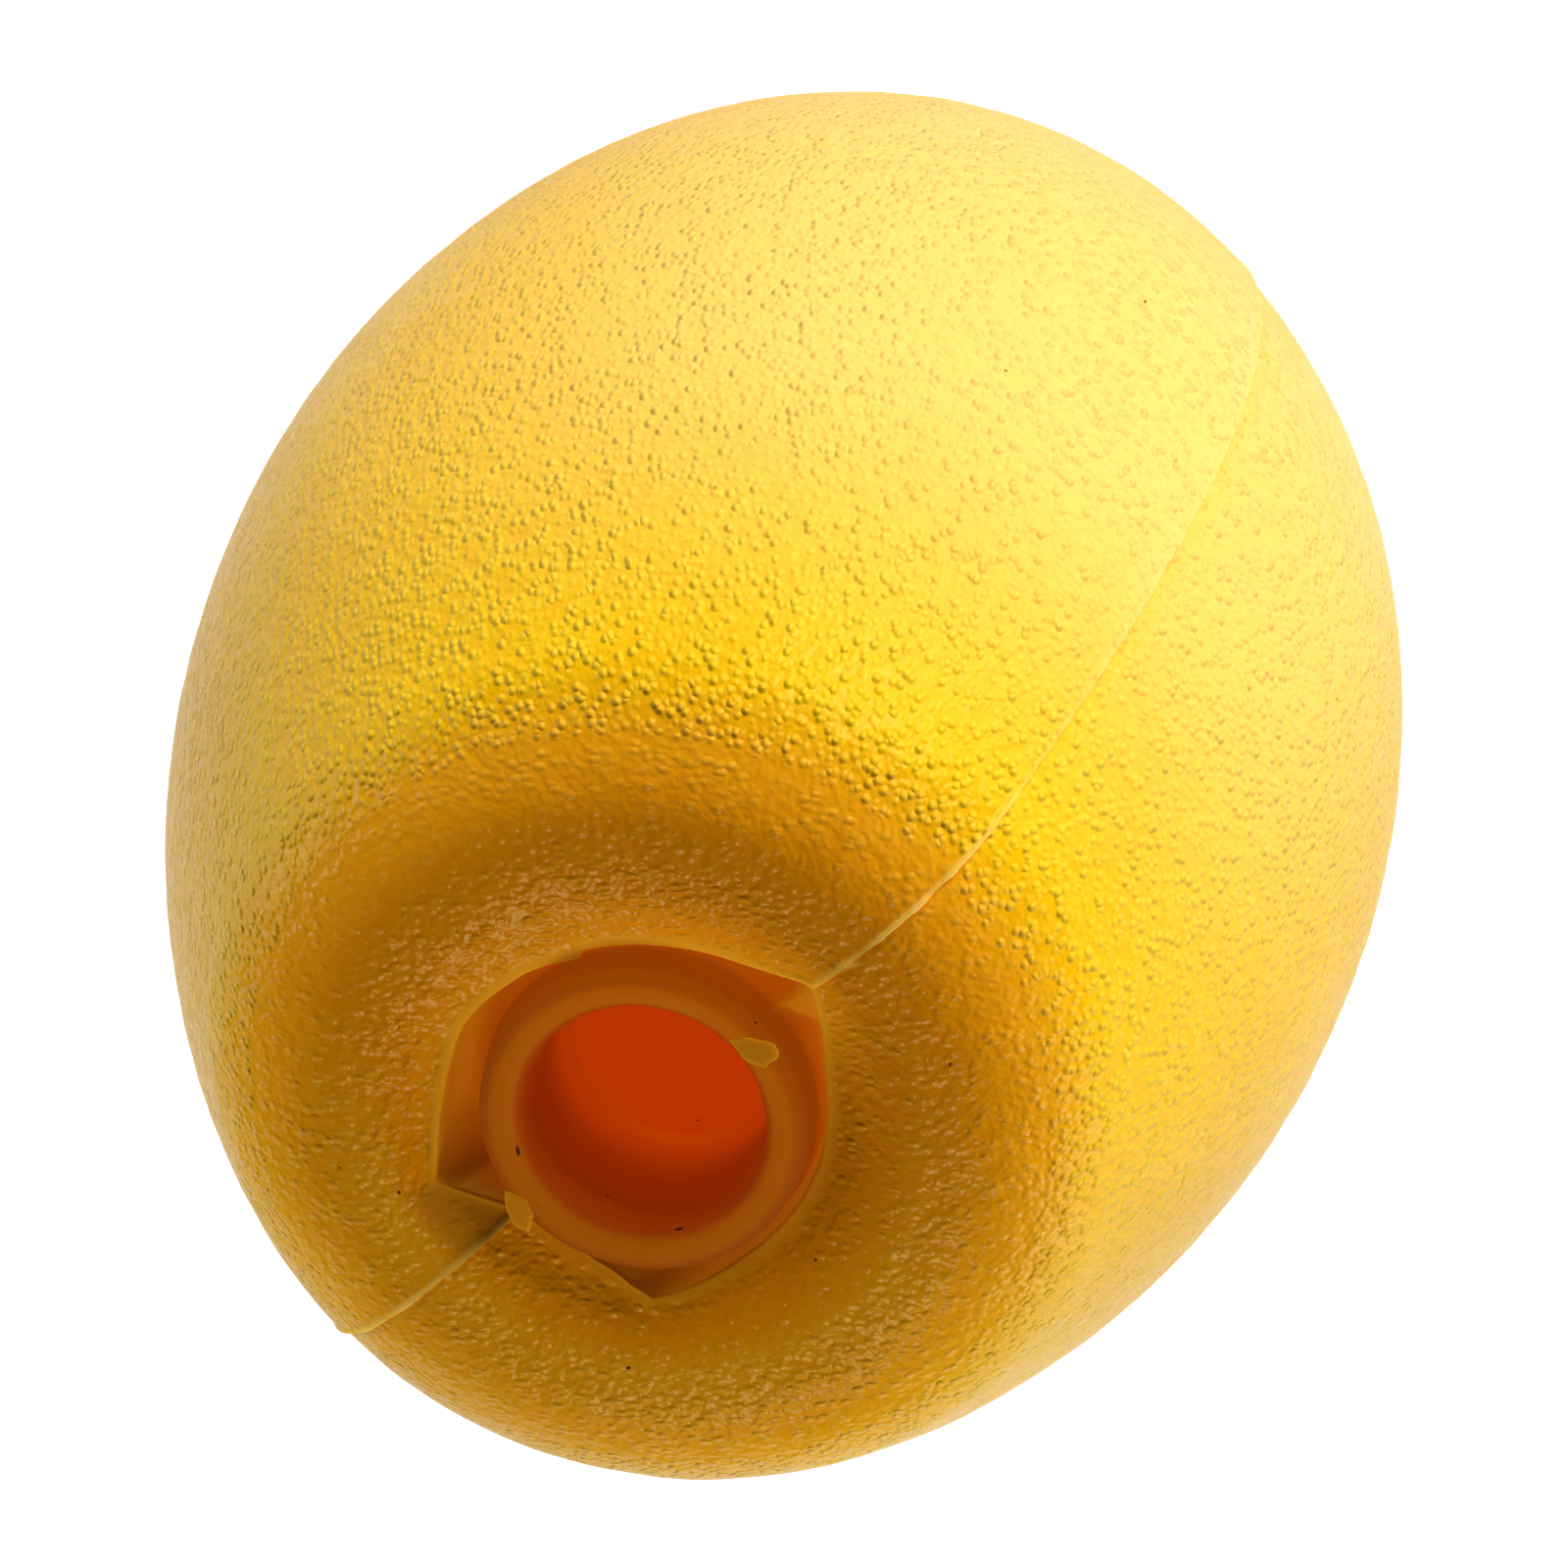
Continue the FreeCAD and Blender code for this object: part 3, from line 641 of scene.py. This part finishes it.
# place, then width, height and turn in the skin
grains = [
    (-13.7, 6.2, 210.7, 0.45, 1.3, -100.0),
    (-6.9, -12.5, 209.3, 1.0, 0.35, 0.0),
    (-12.7, -5.7, 204.8, 0.3, 0.3, 0.0),
    (18.4, 0.9, 209.5, 0.35, 0.35, 0.0),
    (-10.1, 15.8, 207.3, 0.35, 0.3, 0.0),
    (-27.9, 10.5, 210.8, 0.5, 0.3, 0.0),
    (-31.4, 17.0, 210.8, 0.3, 0.25, 0.0),
    (-39.2, 22.5, 207.2, 0.3, 0.3, 0.0),
    (-22.5, -20.9, 210.9, 0.6, 0.4, 30.0),
    (31.4, -16.0, 210.9, 0.4, 0.3, 0.0),
    (2.7, -25.1, 209.6, 0.45, 0.3, 0.0),
    (73.1, 16.4, 109.2, 0.3, 1.1, 0.0),
    (-7.0, -9.8, 186.9, 0.4, 0.3, 0.0),
    (66.2, 26.5, 144.1, 0.5, 0.25, 0.0),
]
half_thickness = 0.06


def dirt_mesh(name, grains):
    """Flat pebbles: each is a sphere squeezed to a fifth of its width along the skin's
    normal, stretched to its two sizes and turned in the skin by its angle."""
    flat = skin.reshape(-1, 3)
    facing = normals.reshape(-1, 3)
    rings, sides = 9, 16
    polar = np.linspace(0.0, np.pi, rings)
    round_ = np.linspace(0.0, 2.0 * np.pi, sides, endpoint=False)
    wide_part = np.outer(np.sin(polar), np.cos(round_))[..., None]
    tall_part = np.outer(np.sin(polar), np.sin(round_))[..., None]
    top = np.repeat(np.cos(polar)[:, None], sides, 1)[..., None]
    index = np.arange(rings * sides).reshape(rings, sides)
    points, faces = [], []
    for count, (x, y, z, wide, tall, turn) in enumerate(grains):
        nearest = np.argmin(((flat - (x, y, z)) ** 2).sum(1))
        out = facing[nearest]
        side = np.cross([0.0, 0.0, 1.0], out) + np.array([1e-6, 0.0, 0.0])
        side /= np.linalg.norm(side)
        rise = np.cross(out, side)
        c, s = np.cos(np.radians(turn)), np.sin(np.radians(turn))
        spread = wide_part * wide / 2 * (c * side + s * rise)
        spread = spread + tall_part * tall / 2 * (c * rise - s * side)
        points.append((flat[nearest] + spread + top * half_thickness * out).reshape(-1, 3))
        faces += tube_faces(index + count * rings * sides)
    return smooth_mesh(name, np.vstack(points), faces)


dirt = placed("dirt", dirt_mesh("dirt", grains))
soil = Nodes("dark_dirt")
place_on_float = soil.add("ShaderNodeTexCoord").outputs["Object"]
mottle = soil.add("ShaderNodeTexNoise", {"Vector": place_on_float, "Scale": 1500.0})
speckle = soil.ramp(mottle.outputs["Fac"], [(0.35, (0.05, 0.01, 0.003)), (0.7, (0.17, 0.05, 0.01))])
soil.feed(soil.shader, {"Base Color": speckle, "Roughness": 0.9, "Specular IOR Level": 0.05})
dirt.data.materials.append(soil.material)
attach(dirt, "root")

# Studio floor. Pale matt board that the float stands on. The camera sees it nearly white,
# with the float's soft shadow left in it.

floor_size = 8.0
floor_mesh = bpy.data.meshes.new("floor")
corners = [(-floor_size, -floor_size, 0.0), (floor_size, -floor_size, 0.0)]
corners += [(floor_size, floor_size, 0.0), (-floor_size, floor_size, 0.0)]
floor_mesh.from_pydata(corners, [], [(0, 1, 2, 3)])
floor = placed("floor", floor_mesh)
board = Nodes("pale_board")
rays = board.add("ShaderNodeLightPath").outputs
mirrored = board.math("MULTIPLY", rays["Is Glossy Ray"], 0.2)
seen = board.math("MAXIMUM", rays["Is Camera Ray"], mirrored)
board.feed(board.shader, {
    "Base Color": (0.86, 0.86, 0.86),
    "Roughness": 0.9,
    "Specular IOR Level": 0.1,
    "Emission Color": (1.0, 1.0, 1.0),
    "Emission Strength": board.math("MULTIPLY", seen, 0.88),
})
floor.data.materials.append(board.material)

# Studio light. Five soft white panels round the float, all but one of them low, the strongest
# on its +X side. The surround is dim, and plain white to the camera.

world = bpy.data.worlds.new("studio")
bpy.context.scene.world = world
world.use_nodes = True
tree = world.node_tree
dim = tree.nodes["Background"]
plain = tree.nodes.new("ShaderNodeBackground")
for background, strength in ((dim, 0.04), (plain, 1.0)):
    background.inputs["Color"].default_value = (1.0, 1.0, 1.0, 1.0)
    background.inputs["Strength"].default_value = strength
rays = tree.nodes.new("ShaderNodeLightPath")
choose = tree.nodes.new("ShaderNodeMixShader")
tree.links.new(rays.outputs["Is Camera Ray"], choose.inputs["Fac"])
tree.links.new(dim.outputs[0], choose.inputs[1])
tree.links.new(plain.outputs[0], choose.inputs[2])
tree.links.new(choose.outputs[0], tree.nodes["World Output"].inputs["Surface"])

aim_height = 0.1


def stand(thing, axes, at):
    """Put a lamp or a camera at a point, with its own x, y and z along the columns of axes."""
    rows = [[*axes[k], at[k]] for k in range(3)]
    thing.matrix_world = Matrix(rows + [[0.0, 0.0, 0.0, 1.0]])


def panel(name, azimuth, elevation, distance, size, level):
    """A square white lamp that faces the middle of the float. level is how bright it makes a white
    surface that faces it: the lamp's power is level times pi squared times distance squared."""
    a, e = np.radians(azimuth), np.radians(elevation)
    back = np.array([np.cos(a) * np.cos(e), np.sin(a) * np.cos(e), np.sin(e)])
    lamp = bpy.data.lights.new(name, "AREA")
    lamp.shape = "SQUARE"
    lamp.size = size
    lamp.energy = level * np.pi**2 * distance**2
    side = np.cross([0.0, 0.0, 1.0], back)
    side /= np.linalg.norm(side)
    axes = np.stack([side, np.cross(back, side), back], 1)
    stand(placed(name, lamp), axes, back * distance + np.array([0.0, 0.0, aim_height]))


panel("key_panel", 17.0, 4.0, 1.1, 0.5, 1.26)
panel("left_panel", 128.0, 5.0, 1.2, 0.7, 0.57)
panel("back_panel", -165.0, 6.0, 1.2, 0.8, 0.05)
panel("high_panel", -130.0, 45.0, 1.2, 0.35, 0.38)
panel("right_panel", -78.0, 0.0, 1.2, 0.8, 0.82)

# Camera. It looks down on one end, 26 degrees off the bore's axis, rolled so that the end
# points down and to the left.

tilt = np.radians(25.84)
heading = np.radians(26.65)
roll = np.radians(22.4)
eye = np.array([0.29215, 0.14663, 0.79377])
outward = np.array([np.cos(heading), np.sin(heading), 0.0])
sideways = np.array([np.sin(heading), -np.cos(heading), 0.0])
upright = np.array([0.0, 0.0, 1.0])
toward_camera = np.sin(tilt) * outward + np.cos(tilt) * upright
long_axis = np.cos(tilt) * outward - np.sin(tilt) * upright
right = np.sin(roll) * long_axis + np.cos(roll) * sideways
up = np.cos(roll) * long_axis - np.sin(roll) * sideways
camera_data = bpy.data.cameras.new("camera")
camera_data.lens = 140.03
camera_data.sensor_width = 36.0
camera_data.clip_start = 0.01
camera = placed("camera", camera_data)
stand(camera, np.stack([right, up, toward_camera], 1), eye)
bpy.context.scene.camera = camera

bpy.context.scene.view_settings.view_transform = "Standard"
